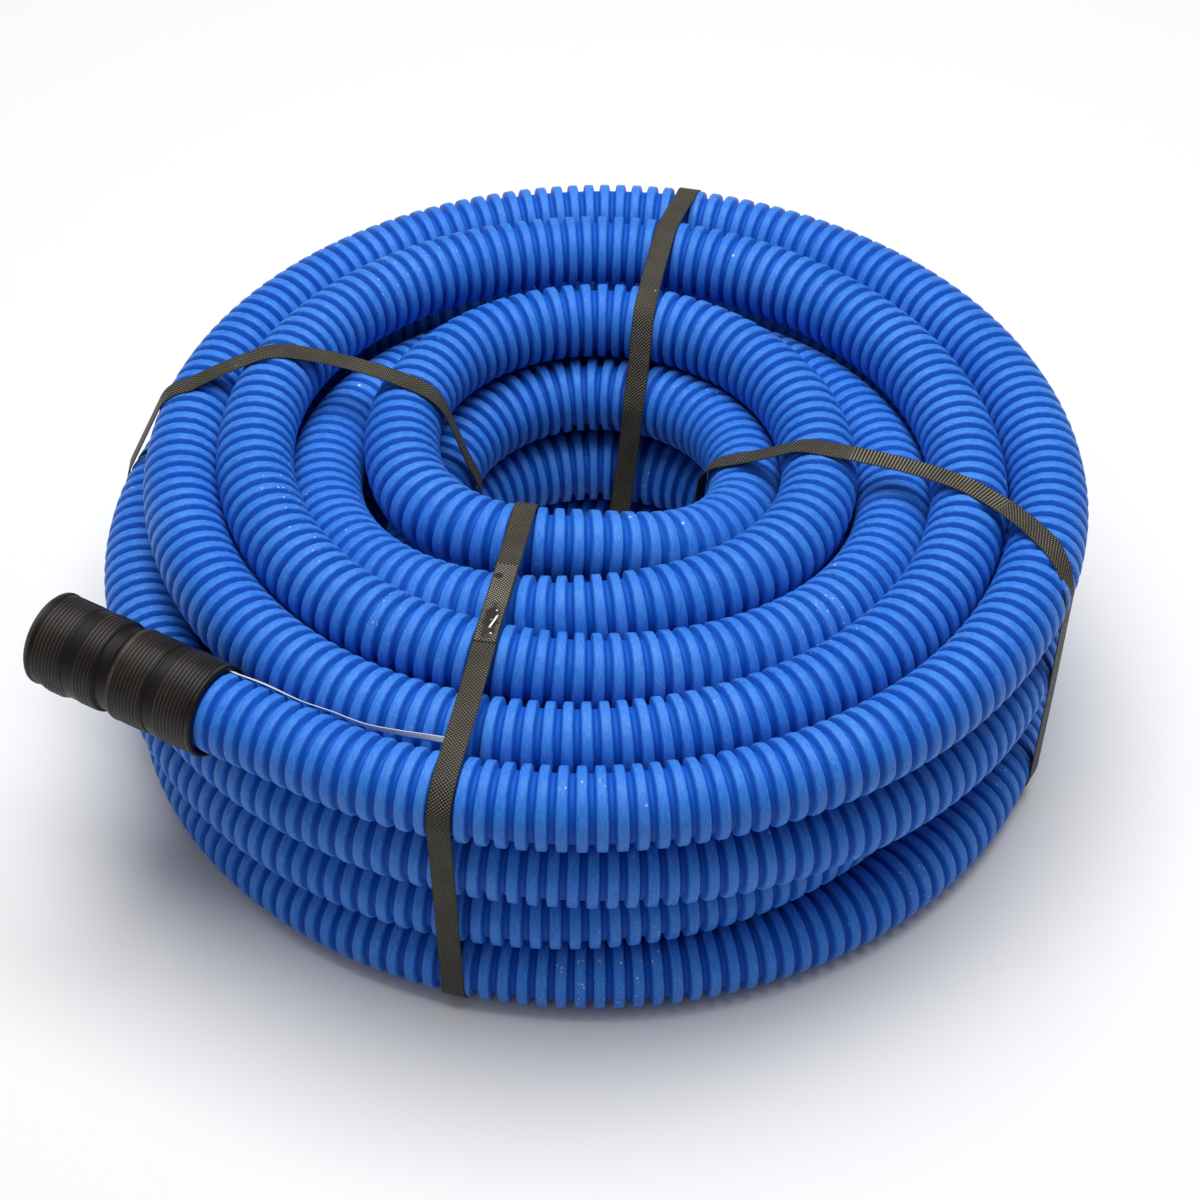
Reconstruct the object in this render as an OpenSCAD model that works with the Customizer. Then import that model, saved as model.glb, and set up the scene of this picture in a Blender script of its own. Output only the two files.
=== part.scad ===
// Coil of corrugated double-wall hose with a push-on coupler, a draw tape and
// four flat straps. Millimetres, Z up, the coil stands on Z = 0 round the Z axis.

/* [Hose] */
// Outside diameter over the ribs
hose_d = 50; // [44:0.5:54]
// Distance from one rib to the next
rib_pitch = 11; // [9:0.5:14]
// Depth of the groove between two ribs
rib_depth = 4.5; // [2:0.25:5]
// Wall left under a groove, with both skins together
groove_wall = 1; // [0.8:0.1:2]
// Least clear space left between neighbouring turns
turn_gap = 0.8; // [0.6:0.1:3]

/* [Coil] */
// Rings that make up one full turn of the coil
rings_per_turn = 24; // [24:12:48]
// Ribs modelled on the free end, back from the coupler
free_end_ribs = 72; // [56:2:84]
// Ribs modelled on the cut end, under the pile
cut_end_ribs = 22; // [18:2:36]

/* [Coupler] */
// Overall length
coupler_length = 124; // [110:1:140]
// Clearance round the hose, on radius
coupler_clearance = 1; // [0.8:0.1:2]
// Wall of the plain sleeve
coupler_wall = 1.8; // [1.4:0.1:3]
// Length of the free straight hose before the coupler
lead_out = 68; // [60:1:90]
// Height of the stop ring inside, above the bore
stop_height = 4; // [2:0.5:6]
// Thickness of the stop ring
stop_width = 4; // [2:0.5:8]
// Space between the hose end and the stop ring
stop_gap = 2.5; // [2:0.5:6]
// Depth of the wide groove round the waist
waist_depth = 1; // [0.4:0.1:1.2]
// Width of the wide groove round the waist
waist_width = 9; // [5:1:12]
// Distance of the waist from the free mouth
waist_from_mouth = 55; // [48:1:60]
// Width of the two narrow grooves, one in each half
narrow_groove = 2.5; // [1.5:0.5:4]
// Distance of the narrow grooves from their own mouth
narrow_from_mouth = 32; // [28:1:36]
// Pitch of the fine rings round the outside
ring_pitch = 5; // [4:0.5:10]
// Depth of the fine rings
ring_depth = 0.4; // [0.2:0.1:0.6]
// Width of the bead at each mouth
bead_width = 3; // [2:0.5:6]
// Height of the bead at each mouth
bead_height = 0.8; // [0.4:0.1:2]

/* [Straps] */
// Width of a strap
strap_width = 16; // [10:1:25]
// Thickness of a strap
strap_thickness = 0.8; // [0.5:0.1:1.2]
// Clearance between a strap and the ribs
strap_clearance = 0.2; // [0.1:0.05:0.5]

/* [Draw tape] */
// Width of the draw tape
tape_width = 4; // [3:0.5:6]
// Thickness of the draw tape
tape_thickness = 0.6; // [0.4:0.1:0.7]

/* [Hidden] */

hose_blue = [0.10, 0.36, 0.85];
coupler_black = [0.06, 0.06, 0.07];
strap_grey = [0.24, 0.24, 0.24];
tape_white = [0.85, 0.85, 0.82];

// ---- How the pile is laid -------------------------------------------------
// One row for each turn, from the cut end on the floor to the free end on top.
// A row holds the radius and the layer where the turn passes the back, the
// right, the front and the left. The turns run clockwise seen from above: in,
// out, in and out again, and every other turn of the top drops at the back.
drawn_lay = 50.8;
pile = [
    [290, 288, 284, 276,   0.00, 0.00, 0.00, 0.00],
    [238, 230, 215, 220,   0.00, 0.00, 0.00, 0.00],
    [186, 170, 150, 168,   0.00, 0.00, 0.00, 0.00],
    [129,  96,  80, 112,   0.00, 0.25, 1.00, 1.00],
    [134, 137, 140, 168,   1.00, 1.00, 1.00, 1.00],
    [185, 189, 200, 222,   1.00, 1.00, 1.00, 1.00],
    [239, 241, 280, 290,   1.00, 1.00, 1.00, 1.00],
    [292, 291, 293, 290,   1.00, 1.50, 2.00, 2.00],
    [264, 244, 180, 108,   2.00, 2.00, 2.00, 2.00],
    [143, 101,  70, 117,   2.10, 2.50, 3.00, 3.03],
    [167, 150, 140, 171,   3.00, 3.00, 3.15, 2.68],
    [200, 199, 192, 214,   2.20, 2.64, 3.15, 3.35],
    [229, 245, 244, 262,   3.25, 3.10, 3.02, 3.02],
    [282, 296, 298, 306,   3.05, 3.05, 3.05, 3.05],
    [307, 297, 297, 297,   3.05, 3.00, 3.00, 3.00]
];
// The spacing of the turns follows the hose, so radii and heights grow with it.
lay = hose_d + turn_gap;
lay_scale = lay / drawn_lay;
floor_rise = hose_d / 2 + strap_thickness + strap_clearance;
hose_bore = hose_d - 2 * (rib_depth + groove_wall);
quarters = 4;
back_angle = 90;
stations = [
    for (row = pile, quarter = [0 : quarters - 1])
        [row[quarter] * lay_scale, floor_rise + row[quarters + quarter] * lay]
];

// A smooth curve through four neighbouring values, t from the second to the third
function spline(a, b, c, d, t) =
    0.5 * (2 * b + (c - a) * t + (2 * a - 5 * b + 4 * c - d) * t * t
           + (3 * b - a - 3 * c + d) * t * t * t);
function station(i) = stations[max(0, min(len(stations) - 1, i))];
// Radius and height of the hose axis after so many turns from the cut end. The
// floor holds it up where the curve would dip before a climb.
function lie(turn) =
    let (q = turn * quarters, i = floor(q),
         rz = spline(station(i - 1), station(i), station(i + 1), station(i + 2), q - i))
    [rz[0], max(rz[1], floor_rise)];
function wound(turn) =
    let (rz = lie(turn), angle = back_angle - 360 * turn)
    [rz[0] * cos(angle), rz[0] * sin(angle), rz[1]];
// Turns that a length of hose takes up at this place
function turns_for(length, turn) = length / (2 * PI * lie(turn)[0]);

function unit(v) = v / norm(v);
function mix(a, b, t) = a + (b - a) * t;

// ---- Where the three lengths of the hose begin and end --------------------
// Turn count at which the hose leaves the pile in a straight line
leave_turn = 13.59;
probe = 0.001;
leave_point = wound(leave_turn);
leave_slope = wound(leave_turn + probe) - wound(leave_turn - probe);
leave_dir = unit([leave_slope[0], leave_slope[1], 0]);
coupler_grip = coupler_length / 2 - stop_width / 2 - stop_gap;
straight_out = lead_out + coupler_grip;
coupler_angle = atan2(leave_dir[1], leave_dir[0]);
coupler_mouth = leave_point + leave_dir * lead_out;
hose_tip = leave_point + leave_dir * straight_out;

// The joint between two lengths is a straight run of one diameter on each side
function straightened(turn, joint) =
    let (half = turns_for(hose_d, joint), t = (turn - joint + half) / (2 * half))
    t <= 0 || t >= 1 ? wound(turn) : mix(wound(joint - half), wound(joint + half), t);

half_rib = rib_pitch / 2;
free_steps = floor(free_end_ribs * 2 - straight_out / half_rib);
// Turn counts half a rib apart, walked back from the place where the hose leaves
free_turns = [
    for (i = 0, turn = leave_turn; i <= free_steps;
         i = i + 1, turn = turn - turns_for(half_rib, turn)) turn
];
free_joint = free_turns[free_steps];
cut_steps = cut_end_ribs * 2;
cut_turns = [
    for (i = 0, turn = 0; i <= cut_steps;
         i = i + 1, turn = turn + turns_for(half_rib, turn)) turn
];
cut_joint = cut_turns[cut_steps];
straight_steps = floor(straight_out / half_rib);

free_axis = concat(
    [for (i = [free_steps : -1 : 1]) straightened(free_turns[i], free_joint)],
    [for (i = [0 : straight_steps])
        leave_point + leave_dir * straight_out * i / straight_steps]
);
// The cut end starts with a straight run too
function cut_run(turn) =
    let (run = turns_for(hose_d, 0), t = turn / run)
    t >= 1 ? straightened(turn, cut_joint) : mix(wound(0), wound(run), t);
cut_axis = [for (turn = cut_turns) cut_run(turn)];

coil_steps = round((free_joint - cut_joint) * rings_per_turn);
run_turns = [turns_for(hose_d, cut_joint), turns_for(hose_d, free_joint)];
coil_start = cut_joint + run_turns[0];
coil_end = free_joint - run_turns[1];
coil_axis = concat(
    [straightened(cut_joint, cut_joint)],
    [for (i = [0 : coil_steps - 2]) wound(mix(coil_start, coil_end, i / (coil_steps - 2)))],
    [straightened(free_joint, free_joint)]
);

// ---- The least gap of the hose to itself ----------------------------------
gap_steps = 48;
gap_points = [for (i = [0 : floor(leave_turn * gap_steps)]) wound(i / gap_steps)];
quarter_steps = gap_steps / quarters;
gaps = [
    for (i = [0 : len(gap_points) - 1 - quarter_steps],
         j = [i + quarter_steps : len(gap_points) - 1])
        norm(gap_points[i] - gap_points[j]) - hose_d
];
echo(str("least gap of the hose to itself, mm: ", min(gaps)));
echo(str("turns: ", leave_turn, ", length of hose, m: ",
         (sum_lengths(gap_points) + straight_out) / 1000));
function sum_lengths(points) =
    let (steps = [for (i = [1 : len(points) - 1]) norm(points[i] - points[i - 1])])
    steps * [for (step = steps) 1];

// ---- Tubes swept along points ---------------------------------------------
up = [0, 0, 1];
function tangent(path, i) =
    unit(path[min(i + 1, len(path) - 1)] - path[max(i - 1, 0)]);
function ring(path, i, radius, sides) =
    let (along = tangent(path, i), side = unit(cross(along, up)), top = cross(side, along))
    [for (k = [0 : sides - 1])
        path[i] + radius * (cos(360 * k / sides) * top + sin(360 * k / sides) * side)];
// Triangles between ring a and ring b, that face away from the axis
function wall(a, b, sides) = [
    for (k = [0 : sides - 1], half = [0, 1])
        let (n = (k + 1) % sides)
        half == 0 ? [a + k, b + k, b + n] : [a + k, b + n, a + n]
];
function flipped(faces) = [for (f = faces) [f[2], f[1], f[0]]];
function end_cap(first, sides) = [for (k = [1 : sides - 2]) [first, first + k, first + k + 1]];

module solid_tube(path, radius, sides) {
    rings = len(path);
    points = [for (i = [0 : rings - 1]) each ring(path, i, radius, sides)];
    last = (rings - 1) * sides;
    polyhedron(points, concat(
        [for (i = [0 : rings - 2]) each wall(i * sides, (i + 1) * sides, sides)],
        end_cap(0, sides),
        flipped(end_cap(last, sides))
    ));
}

// A tube with ribs outside and a smooth bore, whose rings lie half a rib apart
module ribbed_tube(path, sides, bore_every) {
    rings = len(path);
    bore_rings = [for (i = [0 : bore_every : rings - 1]) i];
    bore_index = bore_rings[len(bore_rings) - 1] == rings - 1
        ? bore_rings : concat(bore_rings, [rings - 1]);
    crest = hose_d / 2;
    outer = [for (i = [0 : rings - 1])
        each ring(path, i, i % 2 == 0 ? crest : crest - rib_depth, sides)];
    inner = [for (i = bore_index) each ring(path, i, hose_bore / 2, sides)];
    first_bore = rings * sides;
    last_bore = first_bore + (len(bore_index) - 1) * sides;
    last = (rings - 1) * sides;
    polyhedron(concat(outer, inner), concat(
        [for (i = [0 : rings - 2]) each wall(i * sides, (i + 1) * sides, sides)],
        [for (i = [0 : len(bore_index) - 2])
            each flipped(wall(first_bore + i * sides, first_bore + (i + 1) * sides, sides))],
        flipped(wall(0, first_bore, sides)),
        wall(last, last_bore, sides)
    ));
}

coil_sides = 6;
rib_sides = 8;
bore_every = 4;

module hose_coil() {
    color(hose_blue) solid_tube(coil_axis, hose_d / 2, coil_sides);
}

module hose_free_end() {
    color(hose_blue) ribbed_tube(free_axis, rib_sides, bore_every);
}

module hose_cut_end() {
    color(hose_blue) ribbed_tube(cut_axis, rib_sides, bore_every);
}

// ---- Coupler ----------------------------------------------------------------
// It lies along X from the hose's mouth at 0 to the free mouth, before it is placed
coupler_bore = hose_d + 2 * coupler_clearance;
coupler_od = coupler_bore + 2 * coupler_wall + 2 * waist_depth;
coupler_facets = 48;
waist = coupler_length - waist_from_mouth;
narrow_places = [narrow_from_mouth, coupler_length - narrow_from_mouth];
keep_off = ring_depth + 1;
// The fine rings leave out the mouths, the waist and the narrow grooves
ring_places = [
    for (at = [bead_width + ring_pitch : ring_pitch : coupler_length - bead_width - keep_off])
        if (abs(at - waist) > waist_width / 2 + keep_off
            && abs(at - narrow_places[0]) > narrow_groove / 2 + keep_off
            && abs(at - narrow_places[1]) > narrow_groove / 2 + keep_off) at
];

// A groove with sloping sides, round the sleeve
module groove(at, width, depth) {
    outer = coupler_od / 2;
    translate([outer, at])
        polygon([[-depth, width / 2 - depth], [depth, width / 2 + depth],
                 [depth, -width / 2 - depth], [-depth, depth - width / 2]]);
}

module sleeve_profile() {
    middle = coupler_length / 2;
    inner = coupler_bore / 2;
    outer = coupler_od / 2;
    difference() {
        union() {
            translate([inner, 0]) square([outer - inner, coupler_length]);
            for (mouth = [0, coupler_length - bead_width])
                translate([inner, mouth]) square([outer - inner + bead_height, bead_width]);
            translate([inner - stop_height, middle - stop_width / 2])
                square([stop_height + coupler_wall, stop_width]);
        }
        groove(waist, waist_width, waist_depth);
        for (at = narrow_places) groove(at, narrow_groove, waist_depth / 2);
        for (at = ring_places) groove(at, 2 * ring_depth, ring_depth);
    }
}

module coupler() {
    color(coupler_black)
        translate(coupler_mouth) rotate([0, 0, coupler_angle]) rotate([0, 90, 0])
            rotate_extrude($fn = coupler_facets) sleeve_profile();
}

// ---- Draw tape --------------------------------------------------------------
// It comes out of the hose's bore, folds back over its end inside the coupler,
// runs out past the mouth and twists down into the valley beside the top turn.
side_dir = [leave_dir[1], -leave_dir[0], 0];
tape_side = 42;
fold_dir = cos(tape_side) * up + sin(tape_side) * side_dir;
tape_clearance = 0.1;
crest_ride = hose_d / 2 + tape_thickness / 2 + tape_clearance;
bore_ride = hose_bore / 2 * cos(180 / rib_sides) - tape_thickness / 2 - 4 * tape_clearance;
fold_reach = 1.2;
fold_corner = 1.5;
// A place on the tape, so far beyond the hose's end and so far out from its axis
function by_end(reach, ride) = hose_tip + leave_dir * reach + fold_dir * ride;
tape_fold = [
    for (reach = [-40, -20, -3, fold_reach / 2]) by_end(reach, bore_ride),
    by_end(fold_reach, bore_ride + fold_corner),
    by_end(fold_reach, crest_ride - fold_corner),
    for (reach = [fold_reach / 2, -3, -20, -40, -coupler_grip - 4]) by_end(reach, crest_ride)
];
// Free run, in the valley between the two outer turns of the top, with heights
// over the axis of the lowest turns
tape_lay = [
    [-190, -216, 175], [-168, -229, 174], [-150, -236, 172], [-130, -243, 168],
    [-110, -248, 167], [-92, -252, 167], [-76, -257, 168], [-62, -260, 167]
];
tape_free = [for (p = tape_lay) [0, 0, floor_rise] + p * lay_scale];
tape_route = concat(tape_fold, tape_free);
// Which way the tape's width points, in the coupler and at its tip
fold_across = cross(leave_dir, fold_dir);
tip_across = [-0.2, -0.5, -0.8];
tape_sides = 8;

function across_at(i) =
    let (t = (i - len(tape_fold)) / (len(tape_free) - 1))
    mix(fold_across, tip_across, max(0, t));
function flat_ring(path, i, width, thickness, sides) =
    let (along = tangent(path, i), across = across_at(i),
         side = unit(across - along * (across * along)), top = cross(side, along))
    [for (k = [0 : sides - 1])
        let (a = 360 * (k + 0.5) / sides)
        path[i] + (thickness / 2 * cos(a) * top + width / 2 * sin(a) * side) / cos(180 / sides)];

module draw_tape() {
    color(tape_white) {
        rings = len(tape_route);
        last = (rings - 1) * tape_sides;
        points = [
            for (i = [0 : rings - 1])
                each flat_ring(tape_route, i, tape_width, tape_thickness, tape_sides)
        ];
        polyhedron(points, concat(
            [for (i = [0 : rings - 2])
                each wall(i * tape_sides, (i + 1) * tape_sides, tape_sides)],
            end_cap(0, tape_sides),
            flipped(end_cap(last, tape_sides))
        ));
    }
}

// ---- Straps -----------------------------------------------------------------
// A strap is a closed band drawn tight round every turn that it crosses. It
// stands upright along a line with this heading, this far beside the axis.
// heading, sideways offset
front_line = [255.4, -16.6];
right_line = [332, 55];
back_line = [76.4, 0];
left_line = [180, -68];
looks_per_turn = 120;
band_facets = 48;

// The room inside the band: every full circle that the hose shows in the strap's
// width, with a string drawn round them all. The hose's rings lie on the curve and
// its sides are chords of it, so each circle is drawn on the chord as well.
module band_room(line) {
    outward = [cos(line[0]), sin(line[0]), 0];
    across = [-sin(line[0]), cos(line[0]), 0];
    hull()
        for (turn = [0 : 1 / looks_per_turn : leave_turn], sag = [cos(180 / rings_per_turn), 1]) {
            at = wound(turn);
            beside = max(0, abs(at * across - line[1]) - strap_width / 2);
            if (beside < hose_d / 2 && at * outward > 0)
                translate([at * outward * sag, at[2]])
                    circle(sqrt(pow(hose_d / 2, 2) - beside * beside) + strap_clearance,
                           $fn = band_facets);
        }
}

module strap(line) {
    color(strap_grey)
        rotate([0, 0, line[0]]) translate([0, line[1] + strap_width / 2, 0]) rotate([90, 0, 0])
            linear_extrude(strap_width)
                difference() {
                    offset(delta = strap_thickness) band_room(line);
                    band_room(line);
                }
}

module strap_front() { strap(front_line); }
module strap_right() { strap(right_line); }
module strap_back() { strap(back_line); }
module strap_left() { strap(left_line); }

hose_coil();
hose_free_end();
hose_cut_end();
coupler();
draw_tape();
strap_front();
strap_right();
strap_back();
strap_left();
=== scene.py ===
# %% [markdown]
# # A coil of corrugated hose
# This file dresses a coil of blue corrugated hose: seventeen and a half metres of
# ribbed double-wall tube in nearly fourteen turns, a black coupler pushed on its outer
# end, a thin draw tape that comes out of its bore, and four flat straps round the pile.
# The solid model gives every place and size. Here each piece gets its true surface.

# %% Load the frame
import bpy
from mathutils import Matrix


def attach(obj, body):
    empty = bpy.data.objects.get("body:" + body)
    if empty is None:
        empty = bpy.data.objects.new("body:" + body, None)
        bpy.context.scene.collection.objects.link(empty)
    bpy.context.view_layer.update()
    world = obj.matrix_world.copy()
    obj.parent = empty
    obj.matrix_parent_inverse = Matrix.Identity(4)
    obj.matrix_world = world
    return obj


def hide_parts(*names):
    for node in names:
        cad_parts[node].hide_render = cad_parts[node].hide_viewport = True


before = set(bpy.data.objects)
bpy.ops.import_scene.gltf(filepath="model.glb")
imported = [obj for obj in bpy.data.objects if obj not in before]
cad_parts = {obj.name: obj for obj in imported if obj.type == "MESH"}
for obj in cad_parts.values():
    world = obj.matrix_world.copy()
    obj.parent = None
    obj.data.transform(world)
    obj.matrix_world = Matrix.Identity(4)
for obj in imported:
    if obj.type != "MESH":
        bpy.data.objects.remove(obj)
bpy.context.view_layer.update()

import math

import bpy
import numpy as np
from mathutils import Vector

MM = 0.001
print("nodes:", sorted(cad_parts))

# %% [markdown]
# ## Camera
# The coil is seen from in front and well above, with a long lens, so near and far
# turns keep almost the same size. The camera comes first, because every later choice
# is judged through it. A small shift frames the coil without tilting the camera.

# %% The camera
ELEVATION = 42.1
AIM = np.array([0.0, 0.0, 0.090])
CAMERA_DISTANCE = 2.0097
FOCAL_PIXELS = 3012.7
IMAGE_PIXELS = 1200
SENSOR = 36.0

camera_data = bpy.data.cameras.new("coil_camera")
camera_data.sensor_width = SENSOR
camera_data.lens = FOCAL_PIXELS / IMAGE_PIXELS * SENSOR
camera_data.shift_x = 0.0103
camera_data.shift_y = -0.0181
camera_data.clip_end = 50
camera = bpy.data.objects.new("coil_camera", camera_data)
bpy.context.scene.collection.objects.link(camera)
rise = math.radians(ELEVATION)
camera.location = AIM + CAMERA_DISTANCE * np.array([0, -math.cos(rise), math.sin(rise)])
camera.rotation_euler = (math.pi / 2 - rise, 0, 0)
bpy.context.scene.camera = camera
print("camera at", tuple(round(x, 3) for x in camera.location))

# %% [markdown]
# ## The hose's route
# A coil of stiff hose is wound by hand: each turn runs in, out, in and out again, and
# the turns of the top sink into the valleys between those below. A table gives the
# radius and the layer of each turn at four places, and one smooth curve runs through
# all of them. The solid model uses the same table, so both lie in the same place.

# %% The table of turns, in millimetres and layers
HOSE_D = 50.0
LAY = 50.8
FLOOR_RISE = 26.0
QUARTERS = 4
LEAVE_TURN = 13.59
LEAD_OUT = 68.0
COUPLER_GRIP = 57.5
# One row for each turn: its radius, then its layer, at the back, right, front and left
PILE = np.array([
    [290, 288, 284, 276, 0.00, 0.00, 0.00, 0.00],
    [238, 230, 215, 220, 0.00, 0.00, 0.00, 0.00],
    [186, 170, 150, 168, 0.00, 0.00, 0.00, 0.00],
    [129, 96, 80, 112, 0.00, 0.25, 1.00, 1.00],
    [134, 137, 140, 168, 1.00, 1.00, 1.00, 1.00],
    [185, 189, 200, 222, 1.00, 1.00, 1.00, 1.00],
    [239, 241, 280, 290, 1.00, 1.00, 1.00, 1.00],
    [292, 291, 293, 290, 1.00, 1.50, 2.00, 2.00],
    [264, 244, 180, 108, 2.00, 2.00, 2.00, 2.00],
    [143, 101, 70, 117, 2.10, 2.50, 3.00, 3.03],
    [167, 150, 140, 171, 3.00, 3.00, 3.15, 2.68],
    [200, 199, 192, 214, 2.20, 2.64, 3.15, 3.35],
    [229, 245, 244, 262, 3.25, 3.10, 3.02, 3.02],
    [282, 296, 298, 306, 3.05, 3.05, 3.05, 3.05],
    [307, 297, 297, 297, 3.05, 3.00, 3.00, 3.00],
])
radii = PILE[:, :QUARTERS].ravel()
heights = FLOOR_RISE + PILE[:, QUARTERS:].ravel() * LAY
print("table:", len(radii), "stations, up to", round(heights.max()), "mm high")


# %% The curve through the table
def lie(turn):
    """Radius and height of the axis after so many turns.

    A cubic runs through the four stations round each turn, with half the step from
    the station before to the one after as its slope, and never dips below the floor.
    """
    q = np.atleast_1d(turn) * QUARTERS
    i = np.floor(q).astype(int)
    t = q - i
    place = lambda row, k: row[np.clip(i + k, 0, len(row) - 1)]
    cubic = lambda a, b, c, d: 0.5 * (
        2 * b + (c - a) * t + (2 * a - 5 * b + 4 * c - d) * t**2
        + (3 * b - a - 3 * c + d) * t**3)
    r, z = (cubic(*[place(row, k) for k in (-1, 0, 1, 2)]) for row in (radii, heights))
    return r, np.maximum(z, FLOOR_RISE)


def wound(turn):
    """Points of the coil: polar angle falls by a full circle for each turn."""
    r, z = lie(turn)
    angle = math.pi / 2 - 2 * math.pi * np.atleast_1d(turn)
    return np.stack([r * np.cos(angle), r * np.sin(angle), z], axis=1)


def unit(vectors):
    """The same vectors with length one."""
    return vectors / np.linalg.norm(vectors, axis=-1, keepdims=True)


# %% The whole axis, as fine steps
START_STEPS, WOUND_STEPS, END_STEPS = 20, 6600, 42
probe = 0.001
leave_point = wound(LEAVE_TURN)[0]
leave_slope = (wound(LEAVE_TURN + probe) - wound(LEAVE_TURN - probe))[0] * [1, 1, 0]
leave_dir = unit(leave_slope)
first_run = HOSE_D / (2 * math.pi * radii[0])
straight_out = LEAD_OUT + COUPLER_GRIP
fine_axis = np.concatenate([
    np.linspace(wound(0)[0], wound(first_run)[0], START_STEPS)[:-1],
    wound(np.linspace(first_run, LEAVE_TURN, WOUND_STEPS)),
    leave_point + np.linspace(0, straight_out, END_STEPS)[1:, None] * leave_dir,
])
print("axis:", len(fine_axis), "points")

# %% Lengths, points and directions along the axis
UP = np.array([0.0, 0.0, 1.0])


def lengths_of(line):
    """The length of the line up to each of its points."""
    steps = np.linalg.norm(np.diff(line, axis=0), axis=1)
    return np.concatenate([[0], np.cumsum(steps)])


fine_lengths = lengths_of(fine_axis)
HOSE_LENGTH = fine_lengths[-1]


def along(lengths, line=fine_axis, marks=fine_lengths):
    """Points at these lengths along a line of fine steps."""
    return np.stack([np.interp(lengths, marks, column) for column in line.T], axis=1)


def frames(lengths):
    """Point, level sideways direction and upward direction across the axis there.

    Ahead is the step from 2 mm before the place to 2 mm after it, sideways is ahead
    crossed with straight up, and upward is sideways crossed with ahead.
    """
    reach = 2.0
    centre = along(lengths)
    ahead = unit(along(np.minimum(lengths + reach, HOSE_LENGTH))
                 - along(np.maximum(lengths - reach, 0)))
    side = unit(np.cross(ahead, UP))
    return centre, side, np.cross(side, ahead)


print(f"hose: {HOSE_LENGTH * MM:.2f} m in {LEAVE_TURN:.2f} turns")

# %% [markdown]
# ## From a grid of points to a mesh
# Every new piece is a grid: rows run along it and columns round it. One helper joins
# neighbouring points into four-sided faces and stores a UV map, whose two numbers say
# how far along and how far round a place is, so that a pattern can follow the surface.

# %% A grid becomes a mesh
def grid_piece(name, points, uv, closed=False, values=None):
    """A mesh from points[row, column] in millimetres, smooth shaded.

    The last column joins the first. closed joins the last row to the first too, and
    otherwise one flat face shuts each end. uv has one more column, and one more row
    where the rows are joined. A face takes the corners (i, j), (i, j+1), (i+1, j+1)
    and (i+1, j) of its cell.
    """
    rows, columns = points.shape[:2]
    i, j = [a.ravel() for a in np.meshgrid(np.arange(rows if closed else rows - 1),
                                           np.arange(columns), indexing="ij")]
    row, column = [np.stack(k, axis=1).ravel()
                   for k in ((i, i, i + 1, i + 1), (j, j + 1, j + 1, j))]
    starts = np.arange(0, len(row), 4)
    if not closed:
        ring = np.arange(columns)
        starts = np.append(starts, len(row) + np.array([0, columns]))
        row = np.concatenate([row, 0 * ring, 0 * ring + rows - 1])
        column = np.concatenate([column, ring[::-1], ring])
    mesh = bpy.data.meshes.new(name)
    mesh.vertices.add(rows * columns)
    mesh.vertices.foreach_set("co", (points * MM).astype(np.float32).ravel())
    mesh.loops.add(len(row))
    mesh.loops.foreach_set("vertex_index",
                           ((row % rows) * columns + column % columns).astype(np.int32))
    mesh.polygons.add(len(starts))
    mesh.polygons.foreach_set("loop_start", starts.astype(np.int32))
    mesh.polygons.foreach_set("use_smooth", np.arange(len(starts)) < len(i))
    layer = mesh.uv_layers.new(name="along_round")
    layer.data.foreach_set("uv", uv[row, column].astype(np.float32).ravel())
    for key, value in (values or {}).items():
        attribute = mesh.attributes.new(key, "FLOAT", "POINT")
        attribute.data.foreach_set("value", value.astype(np.float32).ravel())
    mesh.update(calc_edges=True)
    mesh.validate()
    piece = bpy.data.objects.new(name, mesh)
    bpy.context.scene.collection.objects.link(piece)
    return piece


# %% [markdown]
# ## Ribbed hose
# The hose is blown plastic with two walls: a smooth liner inside and a corrugated
# skin outside. A displacement on a plain tube would round the ribs off, so each rib
# is a drawn profile: a flat crest with soft shoulders, steep sides and a flat groove
# where the skin is welded to the liner. The profile is carried along the route, and
# the liner runs back inside it, which closes the wall at both ends.

# %% The profile of one rib
RIB_PITCH = 11.0
BORE_R = 19.5
GROOVE_R = 20.5
CREST_R = HOSE_D / 2
SIDES = 22
BORE_EVERY = 4
RIB_PLACES = np.array([1.8, 2.35, 2.75, 3.5, 7.5, 8.25, 8.65, 9.2]) / RIB_PITCH
RIB_RADII = np.array([GROOVE_R, 23.9, 24.72, CREST_R])
rib_profile = np.concatenate([RIB_RADII, RIB_RADII[::-1]])
rib_total = round(HOSE_LENGTH / RIB_PITCH)
pitch = HOSE_LENGTH / rib_total
print("ribs:", rib_total, "pitch:", round(pitch, 3))


# %% One length of ribbed hose
def rings(centre, side, top, r, sides):
    """A ring of points round each centre: centre + r (cos a * top + sin a * side)."""
    a = 2 * math.pi * np.arange(sides) / sides
    circle = np.cos(a)[:, None] * top[:, None] + np.sin(a)[:, None] * side[:, None]
    return centre[:, None] + np.reshape(r, (len(centre), -1, 1)) * circle


def places(rows, columns):
    """The UV of a grid: each point's row value and column value."""
    return np.stack(np.meshgrid(rows, columns, indexing="ij"), axis=2)


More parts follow.
